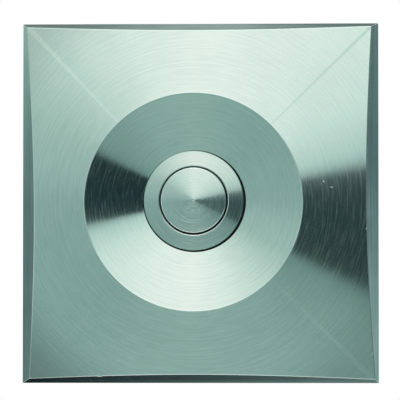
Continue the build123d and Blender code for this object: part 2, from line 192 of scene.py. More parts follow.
dish_floor = rim_height - (rim_radius - seat_radius) * dish_slope
seat_height = dish_floor - seat_recess
blank_radius = blank_margin * Vector((plate_high.x, plate_high.z)).length
face_plate = turn(
    "face_plate_turned",
    (
        (bush_hole, 0),
        (bush_hole, seat_height),
        (joint_radius, seat_height),
        (joint_radius, dish_floor),
        (rim_radius - rim_break, rim_height - rim_break * rim_slope),
        (rim_radius, rim_height),
        (rim_radius + rim_break, rim_height - rim_break * rim_slope),
        (blank_radius, rim_height - (blank_radius - rim_radius) * face_slope),
        (blank_radius, 0),
        (bush_hole, 0),
    ),
    steps=720,
)

# The lathe's axis lies a little below the switch's, and the joint round the flange is wider to the right.
edit(face_plate)
bpy.ops.mesh.select_all(action="DESELECT")
work = bmesh.from_edit_mesh(face_plate.data)
for vertex in work.verts:
    out = Vector((vertex.co.x, vertex.co.z)).length
    vertex.select_set(out > bush_hole + slack)
bmesh.update_edit_mesh(face_plate.data)
bpy.ops.transform.translate(value=(0, 0, -turning_drop))
bpy.ops.mesh.select_all(action="DESELECT")
for vertex in work.verts:
    out = Vector((vertex.co.x, vertex.co.z + turning_drop)).length
    vertex.select_set(abs(out - joint_radius) < slack)
bmesh.update_edit_mesh(face_plate.data)
bpy.ops.transform.resize(value=(joint_stretch, 1, 1), center_override=(0, 0, -turning_drop))
bpy.ops.transform.translate(value=joint_shift)

# Four upright cuts leave the square outline, and four sloping ones the bevels.
sides = ((-1, plate_low.x, plate_low.z), (1, plate_high.x, plate_high.z))
for side, edge_x, edge_z in sides:
    for point, normal in (
        ((edge_x, 0, 0), (side, 0, 0)),
        ((0, 0, edge_z), (0, 0, side)),
        ((edge_x, -edge_land, 0), (side * cos(side_draft), -sin(side_draft), 0)),
        ((0, -edge_land, edge_z), (0, -sin(end_drafts[side]), side * cos(end_drafts[side]))),
    ):
        slice_off(point, normal)

# The inner edges of the left and right bevels lean a little. Normals tell the turned face from the bevels.
front_facing = -0.95
bevel_facing = (-0.7, -0.2)
side_facing = 0.6
for side, edge_x, _ in sides:
    bpy.ops.mesh.select_all(action="DESELECT")
    work = bmesh.from_edit_mesh(face_plate.data)
    for vertex in work.verts:
        normals = [face.normal for face in vertex.link_faces]
        on_front = any(normal.y < front_facing for normal in normals)
        on_bevel = any(side * normal.x > side_facing and normal.y < bevel_facing[1] for normal in normals)
        vertex.select_set(on_front and on_bevel)
    bmesh.update_edit_mesh(face_plate.data)
    bpy.ops.transform.rotate(value=side_lean, orient_axis="Y", center_override=(edge_x, 0, 0))


def is_corner(edge):
    """An edge between two sides of the plate that stand at right angles."""
    one, other = (face.normal for face in edge.link_faces)
    return max(abs(one.y), abs(other.y)) < side_facing and one.dot(other) < side_facing


def is_face_edge(edge):
    """An edge between the turned face and a ground side."""
    tilts = sorted(face.normal.y for face in edge.link_faces)
    middle = (edge.verts[0].co + edge.verts[1].co) / 2
    out = Vector((middle.x, middle.z)).length
    return tilts[0] < front_facing and tilts[1] > bevel_facing[0] and out > rim_radius


pick_edges(face_plate, is_face_edge)
bpy.ops.mesh.bevel(offset=edge_break, segments=1, affect="EDGES")
pick_edges(face_plate, is_corner)
bpy.ops.mesh.bevel(offset=corner_radius, segments=6, affect="EDGES")
bpy.ops.object.mode_set(mode="OBJECT")

pocket = block(
    "pocket", (-pocket_half, -pocket_depth, -pocket_half), (pocket_half, pocket_depth, pocket_half)
)
edit(pocket)
pick_edges(pocket, lambda edge: abs((edge.verts[0].co - edge.verts[1].co).y) > pocket_depth)
bpy.ops.mesh.bevel(offset=pocket_corner, segments=12, affect="EDGES")
bpy.ops.object.mode_set(mode="OBJECT")
cut(face_plate, pocket)
tongue_slot = block(
    "tongue_slot",
    (-tongue_slot_width / 2, -tongue_slot_heights[1], pocket_half - tongue_slot_reach),
    (tongue_slot_width / 2, -tongue_slot_heights[0], pocket_half + tongue_slot_reach),
)
cut(face_plate, tongue_slot)
lower_wall = -(plate_low.z + pocket_half)
drill_length = 2.4 * lower_wall
for place_x in grub_places:
    bpy.ops.object.select_all(action="DESELECT")
    bpy.ops.mesh.primitive_cylinder_add(
        vertices=48,
        radius=grub_hole,
        depth=drill_length,
        location=(place_x, -grub_height, plate_low.z),
    )
    cut(face_plate, bpy.context.object)

# Wear: one chip in the lower bevel's inner edge, two nicks in the right one's and two in the face.
chip_size = 0.001
chip_lift = 0.00027
chip_near = (-0.0212, -rim_height, plate_low.z - chip_size)
chip_place = face_plate.closest_point_on_mesh(chip_near)[1]
chip_out = Vector((0, -sin(end_drafts[-1]), -cos(end_drafts[-1])))
bpy.ops.object.select_all(action="DESELECT")
bpy.ops.mesh.primitive_cube_add(
    size=chip_size, location=chip_place + chip_lift * chip_out, rotation=(-end_drafts[-1], 0, 0)
)
cut(face_plate, bpy.context.object)
nick_turn = radians(8)
nicks = (
    ((0.0402, -rim_height, -0.0345), 0.0002, 1, (0, 0, 0)),
    ((0.0394, -rim_height, -0.0063), 0.0002, 1, (0, 0, 0)),
    ((0.0290, -rim_height, 0.0042), 0.00026, 1, (0, -0.0002, 0)),
    ((0.0312, -rim_height, 0.0029), 0.00008, 27, (0, -0.000077, 0)),
)
for near, nick_size, stretch, lift in nicks:
    nick_place = face_plate.closest_point_on_mesh(near)[1]
    bpy.ops.object.select_all(action="DESELECT")
    bpy.ops.mesh.primitive_ico_sphere_add(
        subdivisions=3,
        radius=nick_size,
        location=nick_place + Vector(lift),
        rotation=(0, nick_turn, 0),
        scale=(stretch, 1, 1),
    )
    cut(face_plate, bpy.context.object)
smooth(face_plate)


def add(tree, kind, inputs=None, **settings):
    """Adds a shader node with its settings, and feeds its inputs with values or other nodes' outputs."""
    node = tree.nodes.new("ShaderNode" + kind)
    for key, value in settings.items():
        setattr(node, key, value)
    for key, value in (inputs or {}).items():
        if isinstance(value, bpy.types.NodeSocket):
            tree.links.new(value, node.inputs[key])
        else:
            node.inputs[key].default_value = value
    return node


def work_out(tree, operation, *values):
    """The result of one sum between values or outputs."""
    return add(tree, "Math", dict(enumerate(values)), operation=operation).outputs[0]


def new_group(name, takes, gives):
    """An empty node group with numbers going in and coming out, and the sockets at its two ends."""
    group = bpy.data.node_groups.new(name, "ShaderNodeTree")
    for socket in takes:
        group.interface.new_socket(socket, in_out="INPUT", socket_type="NodeSocketFloat")
    for socket in gives:
        group.interface.new_socket(socket, in_out="OUTPUT", socket_type="NodeSocketFloat")
    return group, group.nodes.new("NodeGroupInput").outputs, group.nodes.new("NodeGroupOutput").inputs


# Marks of the lathe run round the axis. Painted shade darkens the face towards its corners, most at the
# lower left.
# Where the painted shade lies: towards the lower left, between two distances off the axis.
painted_shade_heading = (-0.35, 0, -0.35)
painted_shade_share = 0.5
painted_shade_from = 0.039
painted_shade_to = 0.053
marks_and_painted_shade, given, result = new_group(
    "turning marks and painted shade", ("Mark Width", "Mark Arc"), ("Streaks", "Rings", "Clouds", "Painted Shade")
)
spot = add(marks_and_painted_shade, "TexCoord").outputs["Object"]
flat = add(marks_and_painted_shade, "VectorMath", {0: spot, 1: (1, 0, 1)}, operation="MULTIPLY").outputs[0]
radius = add(marks_and_painted_shade, "VectorMath", {0: flat}, operation="LENGTH").outputs["Value"]
heading = add(marks_and_painted_shade, "VectorMath", {0: flat}, operation="NORMALIZE").outputs[0]
arcs = work_out(marks_and_painted_shade, "DIVIDE", 1.0, given["Mark Arc"])
round_the_axis = add(
    marks_and_painted_shade, "VectorMath", {0: heading, "Scale": arcs}, operation="SCALE"
).outputs[0]
outwards = work_out(marks_and_painted_shade, "DIVIDE", radius, given["Mark Width"])
step_out = add(marks_and_painted_shade, "CombineXYZ", {"Y": outwards}).outputs[0]
polar = add(marks_and_painted_shade, "VectorMath", {0: round_the_axis, 1: step_out}, operation="ADD").outputs[0]
streaks = add(marks_and_painted_shade, "TexNoise", {"Vector": polar, "Scale": 1.0, "Detail": 3.0, "Roughness": 0.6})
rings = add(marks_and_painted_shade, "TexNoise", {"W": outwards, "Scale": 0.8, "Detail": 2.0}, noise_dimensions="1D")
clouds = add(marks_and_painted_shade, "TexNoise", {"Vector": spot, "Scale": 90.0, "Detail": 3.0})
lower_left = add(
    marks_and_painted_shade, "VectorMath", {0: heading, 1: painted_shade_heading}, operation="DOT_PRODUCT"
).outputs["Value"]
towards_corner = work_out(marks_and_painted_shade, "ADD", lower_left, painted_shade_share)
far_out = add(
    marks_and_painted_shade, "MapRange", {0: radius, 1: painted_shade_from, 2: painted_shade_to}, interpolation_type="SMOOTHSTEP"
)
painted_shade = work_out(marks_and_painted_shade, "MULTIPLY", towards_corner, far_out.outputs[0])
marks_and_painted_shade.links.new(painted_shade, result["Painted Shade"])
marks_and_painted_shade.links.new(streaks.outputs["Fac"], result["Streaks"])
marks_and_painted_shade.links.new(rings.outputs["Fac"], result["Rings"])
marks_and_painted_shade.links.new(clouds.outputs["Fac"], result["Clouds"])


def new_finish(name, group):
    """A new material, its node tree, its shader and a node for one group of marks."""
    material = bpy.data.materials.new(name)
    material.use_nodes = True
    tree = material.node_tree
    marks = tree.nodes.new("ShaderNodeGroup")
    marks.node_tree = group
    return material, tree, tree.nodes["Principled BSDF"], marks


steel_light = (0.69, 0.845, 0.80)
steel_dark = (0.61, 0.775, 0.73)
# Near-black colour of the painted shade on the face's corners, and its greatest share.
painted_shade_colour = (0.02, 0.03, 0.03, 1)
deepest_painted_shade = 0.45
cloud_share = 0.6
ring_share = 0.5
tone_limits = (0.85, 1.25)
streak_limits = (0.48, 0.75)


def turned_steel(name, light, dark, roughness, spread, mark_width, mark_arc, mark_depth):
    """Stainless steel off the lathe, its shine drawn out across fine marks round the axis, with painted
    shade near the face's corners.
    """
    material, tree, shader, marks = new_finish(name, marks_and_painted_shade)
    marks.inputs["Mark Width"].default_value = mark_width
    marks.inputs["Mark Arc"].default_value = mark_arc
    mottle = work_out(tree, "MULTIPLY_ADD", marks.outputs["Clouds"], cloud_share, marks.outputs["Streaks"])
    mottle = work_out(tree, "MULTIPLY_ADD", marks.outputs["Rings"], ring_share, mottle)
    tone = add(tree, "MapRange", {0: mottle, 1: tone_limits[0], 2: tone_limits[1]}).outputs[0]
    colour = add(tree, "Mix", {"Factor": tone, 6: (*dark, 1), 7: (*light, 1)}, data_type="RGBA")
    # Painted shade: the colour goes over to near-black towards the face's corners.
    painted_shade = work_out(tree, "MULTIPLY", marks.outputs["Painted Shade"], deepest_painted_shade)
    colour = add(tree, "Mix", {"Factor": painted_shade, 6: colour.outputs[2], 7: painted_shade_colour}, data_type="RGBA")
    limits = {1: streak_limits[0], 2: streak_limits[1], 3: roughness, 4: roughness + spread}
    rough = add(tree, "MapRange", {0: marks.outputs["Streaks"], **limits}).outputs[0]
    height = work_out(tree, "MULTIPLY_ADD", marks.outputs["Rings"], ring_share, marks.outputs["Streaks"])
    bump = add(tree, "Bump", {"Height": height, "Strength": 1.0, "Distance": mark_depth})
    spot = add(tree, "TexCoord").outputs["Object"]
    across = add(tree, "VectorMath", {0: spot, 1: (1, 0, 1)}, operation="MULTIPLY").outputs[0]
    tree.links.new(colour.outputs[2], shader.inputs["Base Color"])
    tree.links.new(rough, shader.inputs["Roughness"])
    tree.links.new(bump.outputs[0], shader.inputs["Normal"])
    tree.links.new(across, shader.inputs["Tangent"])
    shader.inputs["Metallic"].default_value = 1.0
    shader.inputs["Anisotropic"].default_value = 1.0
    return material


grain, given, result = new_group("grain", ("Step X", "Step Y", "Step Z"), ("Streaks", "Clouds"))
spot = add(grain, "TexCoord").outputs["Object"]
steps = add(grain, "CombineXYZ", {"X": given["Step X"], "Y": given["Step Y"], "Z": given["Step Z"]})
stretched = add(grain, "VectorMath", {0: spot, 1: steps.outputs[0]}, operation="DIVIDE").outputs[0]
streaks = add(grain, "TexNoise", {"Vector": stretched, "Scale": 1.0, "Detail": 3.0, "Roughness": 0.6})
clouds = add(grain, "TexNoise", {"Vector": spot, "Scale": 140.0, "Detail": 3.0})
grain.links.new(streaks.outputs["Fac"], result["Streaks"])
grain.links.new(clouds.outputs["Fac"], result["Clouds"])
grain_limits = (0.6, 1.0)
ground_stretch = 0.8


def grained(name, light, dark, steps, roughness, spread, depth, metallic=1.0, along=None):
    """A surface with a grain: the steps are the grain's size along X, Y and Z. Ground metal has marks
    along one direction, and its shine is drawn out across them."""
    material, tree, shader, marks = new_finish(name, grain)
    for axis, step in zip("XYZ", steps):
        marks.inputs["Step " + axis].default_value = step
    mottle = work_out(tree, "MULTIPLY_ADD", marks.outputs["Clouds"], cloud_share, marks.outputs["Streaks"])
    tone = add(tree, "MapRange", {0: mottle, 1: grain_limits[0], 2: grain_limits[1]}).outputs[0]
    colour = add(tree, "Mix", {"Factor": tone, 6: (*dark, 1), 7: (*light, 1)}, data_type="RGBA")
    rough = work_out(tree, "MULTIPLY_ADD", marks.outputs["Streaks"], spread, roughness - spread / 2)
    bump = add(tree, "Bump", {"Height": marks.outputs["Streaks"], "Strength": 1.0, "Distance": depth})
    tree.links.new(colour.outputs[2], shader.inputs["Base Color"])
    tree.links.new(rough, shader.inputs["Roughness"])
    tree.links.new(bump.outputs[0], shader.inputs["Normal"])
    shader.inputs["Metallic"].default_value = metallic
    if along:
        facing = add(tree, "NewGeometry").outputs["Normal"]
        across = add(tree, "VectorMath", {0: facing, 1: along}, operation="CROSS_PRODUCT").outputs[0]
        tree.links.new(across, shader.inputs["Tangent"])
        shader.inputs["Anisotropic"].default_value = ground_stretch
    return material


side_light = (0.76, 0.91, 0.87)
side_dark = (0.52, 0.68, 0.63)
face_finishes = (
    turned_steel(
        "turned face", steel_light, steel_dark,
        roughness=0.13, spread=0.055, mark_width=0.00034, mark_arc=0.16, mark_depth=4.5e-6,
    ),
    turned_steel(
        "turned dish", steel_light, steel_dark,
        roughness=0.105, spread=0.07, mark_width=0.00034, mark_arc=0.2, mark_depth=4e-6,
    ),
    grained(
        "sides ground upright", light=side_light, dark=side_dark,
        steps=(0.0005, 0.0005, 0.04), roughness=0.11, spread=0.06, depth=8e-7, along=(0, 0, 1),
    ),
    grained(
        "sides ground across", light=side_light, dark=side_dark,
        steps=(0.04, 0.0005, 0.0005), roughness=0.10, spread=0.06, depth=8e-7, along=(1, 0, 0),
    ),
    grained(
        "milled back", light=(0.60, 0.64, 0.63), dark=(0.50, 0.54, 0.53),
        steps=(0.004, 0.0003, 0.0003), roughness=0.36, spread=0.14, depth=4e-6, along=(1, 0, 0),
    ),
    # Near-black painted shade on the walls and floor of the joint round the flange.
    grained(
        "painted shade in the joint", light=(0.010, 0.018, 0.019), dark=(0.005, 0.010, 0.011),
        steps=(0.0004, 0.0004, 0.0004), roughness=0.7, spread=0.2, depth=6e-6, metallic=0.0,
    ),
)
stand_for(face_plate, "face_plate", "plate", "turned_steel", *face_finishes)
face_finish, dish_finish, upright_finish, across_finish, back_finish, joint_painted_shade = range(6)
joint_shade_margin = 0.0004
outer_half = pocket_half + 0.001
front_tilt = 0.75
for polygon in face_plate.data.polygons:
    middle = polygon.center
    facing = polygon.normal
    out = Vector((middle.x, middle.z + turning_drop)).length
    before_pocket = middle.y < -pocket_depth - slack
    on_side = max(abs(middle.x), abs(middle.z)) >= outer_half and abs(facing.y) < front_tilt
    if facing.y < -front_tilt and out > rim_radius:
        polygon.material_index = face_finish
    # The walls and floor of the joint round the flange get the painted shade.
    elif before_pocket and out < seat_radius + joint_shade_margin:
        polygon.material_index = joint_painted_shade
    elif before_pocket and out < rim_radius:
        polygon.material_index = dish_finish
    elif on_side and abs(facing.x) > abs(facing.z):
        polygon.material_index = upright_finish
    elif on_side:
        polygon.material_index = across_finish
    else:
        polygon.material_index = back_finish

# Flange seal: a black rubber ring in a groove under the switch's flange. The nut squeezes it on its seat,
# so that no rain gets behind the plate.


def rubber_ring(name, node):
    """A round-section rubber ring in the place of a node."""
    low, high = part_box(node)
    wire = (high.y - low.y) / 2
    middle_radius = high.z - wire
    middle_height = -(low.y + high.y) / 2
    wire_steps = 24
    corners = []
    for count in range(wire_steps + 1):
        angle = 2 * pi * count / wire_steps
        corners.append((middle_radius + wire * cos(angle), middle_height + wire * sin(angle)))
    ring = turn(name, corners, steps=96)
    smooth(ring, angle=40)
    return ring


rubber = grained(
    "black rubber", light=(0.045, 0.045, 0.045), dark=(0.02, 0.02, 0.02),
    steps=(0.0003, 0.0003, 0.0003), roughness=0.6, spread=0.2, depth=6e-6, metallic=0.0,
)
flange_seal = rubber_ring("flange_seal_ring", "flange_seal")
stand_for(flange_seal, "flange_seal", "plate", "black_rubber", rubber)

# Switch bush: a turned steel sleeve with a flange that shows as a ring in the dish, and a thread along its
# barrel. The nut draws the flange down on its seat, and the push button slides in its front.
bush_end = -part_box("switch_bush")[1].y
button_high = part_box("push_button")[1]
clip_low, clip_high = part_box("button_clip")
guide_low, guide_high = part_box("guide_plate")
base_clip_low, base_clip_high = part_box("base_clip")
seal_low, seal_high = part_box("flange_seal")
button_radius = button_high.x
button_gap = 0.0003
opening_radius = button_radius + button_gap
flange_slope = tan(radians(8))
flange_edge = 0.0019
flange_edge_height = seat_height + flange_edge
flange_break = 0.00016
edge_slope = tan(radians(31))
steep_break = 0.00007
flange_corner = flange_edge_height - flange_break * edge_slope
opening_height = flange_edge_height + (flange_radius - opening_radius) * flange_slope
opening_corner = opening_height - flange_break * edge_slope
barrel_radius = 0.0095
thread_root = 0.00895
thread_pitch = 0.001
play = 0.0001
seal_groove = (seal_high.z - (seal_high.y - seal_low.y) - play, seal_high.z + play)
clip_play = 0.00005
lip_back = -clip_low.y + clip_play
lip_thickness = 0.0015
lip_front = lip_back + lip_thickness
lip_bore = 0.00615
front_bore = 0.0078
rear_bore = 0.0081
guide_thickness = 0.0016
ledge_height = -guide_high.y + guide_thickness
ring_groove = (-base_clip_low.y + clip_play, -base_clip_high.y - clip_play)
ring_groove_radius = base_clip_high.x + clip_play
thread_start = seat_height - 0.0006
thread_end = bush_end + 0.0002


def wind(piece, rise, turns, steps):
    """Winds a closed line round the switch's axis and to the front, by a rise on each turn."""
    bpy.ops.object.modifier_add(type="SCREW")
    winding = piece.modifiers[-1]
    winding.axis = "Y"
    winding.screw_offset = -rise
    winding.iterations = turns
    winding.steps = steps
    winding.render_steps = steps
    bpy.ops.object.modifier_apply(modifier=winding.name)


def thread(name, root, crest, pitch, start, end):
    """A screw thread on the switch's axis: one ridge wound from a height back to another."""
    turns = int((start - end) / pitch) + 2
    bottom = end - pitch
    sunk_share = 0.1
    flank = 0.42
    land = 0.12
    buried = root - sunk_share * (crest - root)
    rise = crest - buried
    ridge = ((rise, flank), (0, land), (-rise, flank), (0, -2 * flank - land))
    piece = half_section(name, (buried, bottom), [(out, ahead * pitch) for out, ahead in ridge])
    bpy.ops.mesh.remove_doubles(threshold=1e-7)
    bpy.ops.object.mode_set(mode="OBJECT")
    wind(piece, pitch, turns, steps=64)
    edit(piece)
    for height, side in ((start, -1), (end, 1)):
        slice_off((0, -height, 0), (0, side, 0))
    close_up()
    return piece


def join(piece, *others):
    """Makes one piece of several."""
    choose(piece)
    for other in others:
        other.select_set(True)
    bpy.ops.object.join()


switch_bush = turn(
    "switch_bush_turned",
    (
        (opening_radius, opening_corner - 2 * steep_break),
        (opening_radius + steep_break, opening_corner),
        (opening_radius + steep_break + flange_break, opening_height - flange_break * flange_slope),
        (flange_radius - flange_break, flange_edge_height + flange_break * flange_slope),
        (flange_radius - steep_break, flange_corner),
        (flange_radius, flange_corner - 2 * steep_break),
        (flange_radius, seat_height),
        (seal_groove[1], seat_height),
        (seal_groove[1], -seal_low.y + play),
        (seal_groove[0], -seal_low.y + play),
        (seal_groove[0], seat_height),
        (thread_root, seat_height),
        (thread_root, bush_end),
        (rear_bore, bush_end),
        (rear_bore, ring_groove[1]),
        (ring_groove_radius, ring_groove[1]),
        (ring_groove_radius, ring_groove[0]),
        (rear_bore, ring_groove[0]),
        (rear_bore, ledge_height),
        (front_bore, ledge_height),
        (front_bore, lip_back),
        (lip_bore, lip_back),
        (lip_bore, lip_front),
        (opening_radius, lip_front),
        (opening_radius, opening_corner - 2 * steep_break),
    ),
    steps=360,
)
bush_thread = thread("bush_thread", thread_root, barrel_radius, thread_pitch, thread_start, thread_end)
join(switch_bush, bush_thread)
smooth(switch_bush, angle=12)
collar_light = (0.66, 0.805, 0.76)
collar_dark = (0.58, 0.735, 0.69)
collar_steel = turned_steel(
    "turned collar", collar_light, collar_dark,
    roughness=0.13, spread=0.07, mark_width=0.00026, mark_arc=0.5, mark_depth=7e-6,
)
stand_for(switch_bush, "switch_bush", "plate", "turned_steel", collar_steel)

# Lock washer: a ring stamped from stainless sheet, with teeth that bite in the floor of the pocket so that
# the nut doesn't work loose.


def dress(node, body, slot, finish, edge, segments=2):
    """Puts a copy of a node's shape in its place, with its faces made whole and its edges rounded."""
    flat_angle = radians(1)
    sharp_angle = radians(35)
    piece = bpy.data.objects.new(node + "_dressed", nodes[node].data.copy())
    bpy.context.scene.collection.objects.link(piece)
    piece.data.materials.clear()
    edit(piece)
    bpy.ops.mesh.remove_doubles(threshold=1e-6)
    bpy.ops.mesh.dissolve_limited(angle_limit=flat_angle)
    pick_edges(piece, lambda line: line.calc_face_angle() > sharp_angle)
    bpy.ops.mesh.bevel(offset=edge, segments=segments, affect="EDGES")
    bpy.ops.object.mode_set(mode="OBJECT")
    smooth(piece, angle=32)
    bpy.ops.object.modifier_add(type="WEIGHTED_NORMAL")
    weighting = piece.modifiers[-1]
    weighting.keep_sharp = True
    bpy.ops.object.modifier_apply(modifier=weighting.name)
    stand_for(piece, node, body, slot, finish)


sheet_steel = grained(
    "rolled sheet steel", light=(0.62, 0.64, 0.64), dark=(0.52, 0.54, 0.54),
    steps=(0.010, 0.0003, 0.0003), roughness=0.32, spread=0.14, depth=2e-6, along=(1, 0, 0),
)
dress("lock_washer", "plate", "sheet_steel", sheet_steel, edge=0.00008)

# Lock nut: a thin nickel-plated brass hexagon with its corners turned off at the back. It clamps the
# switch, the plate and the washer together.
nut_low, nut_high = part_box("lock_nut")
nut_front = -nut_low.y
nut_back = -nut_high.y
nut_corner = nut_high.x
nut_half = nut_high.z
nut_play = 0.00005
nut_bore = barrel_radius + nut_play
nut_break = 0.0003
corner_drop = (nut_corner - nut_half) * tan(radians(30))
lock_nut = turn(
    "lock_nut_milled",
    (
        (nut_bore, nut_back + nut_break),
        (nut_bore + nut_break, nut_back),
        (nut_half, nut_back),
        (nut_corner, nut_back + corner_drop),
        (nut_corner, nut_front),
        (nut_bore + nut_break, nut_front),
        (nut_bore, nut_front - nut_break),
        (nut_bore, nut_back + nut_break),
    ),
    steps=180,
)
bpy.ops.object.select_all(action="DESELECT")
bpy.ops.mesh.primitive_cylinder_add(
    vertices=6,
    radius=nut_corner,
    depth=2 * (nut_front - nut_back),
    location=(0, (nut_low.y + nut_high.y) / 2, 0),
    rotation=(pi / 2, pi / 6, 0),
)
cut(lock_nut, bpy.context.object, "INTERSECT")
smooth(lock_nut, angle=12)
nickel = grained(
    "nickel plate", light=(0.70, 0.68, 0.61), dark=(0.58, 0.56, 0.50),
    steps=(0.0006, 0.0006, 0.0006), roughness=0.22, spread=0.10, depth=3e-6,
)
stand_for(lock_nut, "lock_nut", "plate", "nickel_nut", nickel)

# Push button: a turned steel cap with a slightly domed front and a hollow stem. It slides in the bush
# against its spring, and a tiny pip is left in the middle where the tool ended.
button_sink = 0.0001
button_edge_height = opening_height - button_sink
button_crown = 0.00065
button_curve = 1.3
button_break = 0.00025
button_lean = (-0.00003, 0, 0.00008)
button_seal_low, button_seal_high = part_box("button_seal")
button_seal_wire = button_seal_high.y - button_seal_low.y
button_groove = button_seal_high.x - button_seal_wire - play
spring_low, spring_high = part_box("return_spring")
plunger_low, plunger_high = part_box("plunger")
cap_depth = 0.0033
cap_back = button_edge_height - cap_depth
stem_back = -button_high.y
stem_play = 0.00015
stem_radius = lip_bore - stem_play
stem_groove_depth = 0.0005
stem_groove = stem_radius - stem_groove_depth
spring_wire = 0.0007
spring_space = 0.00035
spring_pocket = (spring_high.x + spring_space, spring_high.x - spring_wire - spring_space)
plunger_radius = plunger_high.x
pip_radius = 0.00022
pip_depth = 0.00004
dome_steps = 24
dome = []
for count in range(dome_steps + 1):
    dome_place = pip_radius + (button_radius - button_break - pip_radius) * count / dome_steps
    dome_drop = button_crown * (dome_place / button_radius) ** button_curve
    dome.append((dome_place, button_edge_height + button_crown - dome_drop))
button_corner = dome[-1][1] - (button_break - steep_break) * edge_slope
push_button = turn(
    "push_button_turned",
    (
        (0, button_edge_height + button_crown - pip_depth),
        *dome,
        (button_radius - steep_break, button_corner),
        (button_radius, button_corner - 2 * steep_break),
        (button_radius, -button_seal_low.y + play),
        (button_groove, -button_seal_low.y + play),
        (button_groove, -button_seal_high.y - play),
        (button_radius, -button_seal_high.y - play),
        (button_radius, cap_back),
        (stem_radius, cap_back),
        (stem_radius, -clip_low.y),
        (stem_groove, -clip_low.y),
        (stem_groove, -clip_high.y),
        (stem_radius, -clip_high.y),
        (stem_radius, stem_back),
        (spring_pocket[0], stem_back),
        (spring_pocket[0], -spring_low.y),
        (spring_pocket[1], -spring_low.y),
        (spring_pocket[1], stem_back),
        (plunger_radius, stem_back),
        (plunger_radius, -plunger_low.y),
        (0, -plunger_low.y),
    ),
    steps=360,
)

# The button stands a little off the middle of its opening.
edit(push_button)
bpy.ops.transform.translate(value=button_lean)
bpy.ops.object.mode_set(mode="OBJECT")
smooth(push_button)
button_steel = turned_steel(
    "turned button", steel_light, steel_dark,
    roughness=0.13, spread=0.09, mark_width=0.00026, mark_arc=0.4, mark_depth=8e-6,
)
stand_for(push_button, "push_button", "button", "turned_steel", button_steel)

# Button seal: a black rubber ring in a groove round the cap, which keeps rain out of the switch.
# It slides with the button.
button_seal = rubber_ring("button_seal_ring", "button_seal")
stand_for(button_seal, "button_seal", "button", "black_rubber", rubber)

# Button clip: a snap ring stamped from spring steel, sprung in the groove of the stem behind the lip.
# It stops the button from being pushed out by its spring.
spring_steel = grained(
    "spring steel", light=(0.52, 0.52, 0.51), dark=(0.40, 0.40, 0.39),
    steps=(0.0004, 0.0004, 0.0004), roughness=0.34, spread=0.12, depth=2e-6,
)
dress("button_clip", "button", "spring_steel", spring_steel, edge=0.00008)

# Return spring: a coil of steel wire that stands on the guide plate and pushes the button out. It gets
# shorter as the button goes in. Here it moves with the plate, and gets a mesh of its own.


def coil(name, node, wire, turns):
    """A coil of round wire that fills the place of a node."""
    low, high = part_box(node)
    bpy.ops.object.select_all(action="DESELECT")
    bpy.ops.mesh.primitive_circle_add(
        vertices=14, radius=wire / 2, location=(high.z - wire / 2, high.y - wire / 2, 0)
    )
    piece = bpy.context.object
    piece.name = name
    bpy.ops.object.transform_apply()
    wind(piece, (high.y - low.y - wire) / turns, turns, steps=48)
    edit(piece)
    bpy.ops.mesh.remove_doubles(threshold=1e-7)
    bpy.ops.mesh.fill_holes(sides=0)
    close_up()
    smooth(piece, angle=40)
    return piece


return_spring = coil("return_spring_coil", "return_spring", spring_wire, turns=5)
stand_for(return_spring, "return_spring", "plate", "spring_steel", spring_steel)
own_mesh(return_spring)

# Plunger: a rod of natural nylon pressed in the button's stem, with a thin pin at its back that carries
# the contact bridge.
bridge_clip_low, bridge_clip_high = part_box("bridge_clip")
contact_spring_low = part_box("contact_spring")[0]
pin_radius = 0.0011
pin_groove_depth = 0.0003
pin_groove = pin_radius - pin_groove_depth
plunger_break = 0.0002
plunger = turn(
    "plunger_moulded",
    (
        (0, -plunger_low.y),
        (plunger_radius - plunger_break, -plunger_low.y),
        (plunger_radius, -plunger_low.y - plunger_break),
        (plunger_radius, -contact_spring_low.y),
        (pin_radius, -contact_spring_low.y),
        (pin_radius, -bridge_clip_low.y),
        (pin_groove, -bridge_clip_low.y),
        (pin_groove, -bridge_clip_high.y),
        (pin_radius, -bridge_clip_high.y),
        (pin_radius, -plunger_high.y + plunger_break),
        (pin_radius - plunger_break, -plunger_high.y),
        (0, -plunger_high.y),
    ),
    steps=64,
)
smooth(plunger, angle=30)
nylon = grained(
    "natural nylon", light=(0.74, 0.71, 0.62), dark=(0.66, 0.63, 0.54),
    steps=(0.0008, 0.0008, 0.0008), roughness=0.42, spread=0.15, depth=4e-6, metallic=0.0,
)
stand_for(plunger, "plunger", "button", "pale_plastic", nylon)

# Contact spring: a small coil of steel wire on the plunger's pin. It presses the bridge against its snap
# ring, and gives way once the contacts have met.
contact_wire = 0.0003
contact_spring = coil("contact_spring_coil", "contact_spring", contact_wire, turns=4)
stand_for(contact_spring, "contact_spring", "button", "spring_steel", spring_steel)

# Contact bridge: a strip stamped from brass, with a hole for the pin. It joins the two contacts when the
# button is pressed.
brass = grained(
    "stamped brass", light=(0.78, 0.58, 0.26), dark=(0.66, 0.47, 0.19),
    steps=(0.0002, 0.003, 0.0002), roughness=0.28, spread=0.12, depth=2e-6, along=(0, 1, 0),
)
dress("contact_bridge", "button", "contact_brass", brass, edge=0.00006)

# Bridge tips: two silver tips riveted on the ends of the bridge, because bare brass would soon burn and
# wear where it switches the current.
silver = grained(
    "silver tips", light=(0.88, 0.87, 0.84), dark=(0.74, 0.73, 0.70),
    steps=(0.0003, 0.0003, 0.0003), roughness=0.26, spread=0.10, depth=2e-6,
)
dress("bridge_tips", "button", "silver", silver, edge=0.00012, segments=3)

# Bridge clip: a tiny snap ring stamped from spring steel. It is sprung in the groove of the pin, and keeps
# the bridge on it.
dress("bridge_clip", "button", "spring_steel", spring_steel, edge=0.00005)

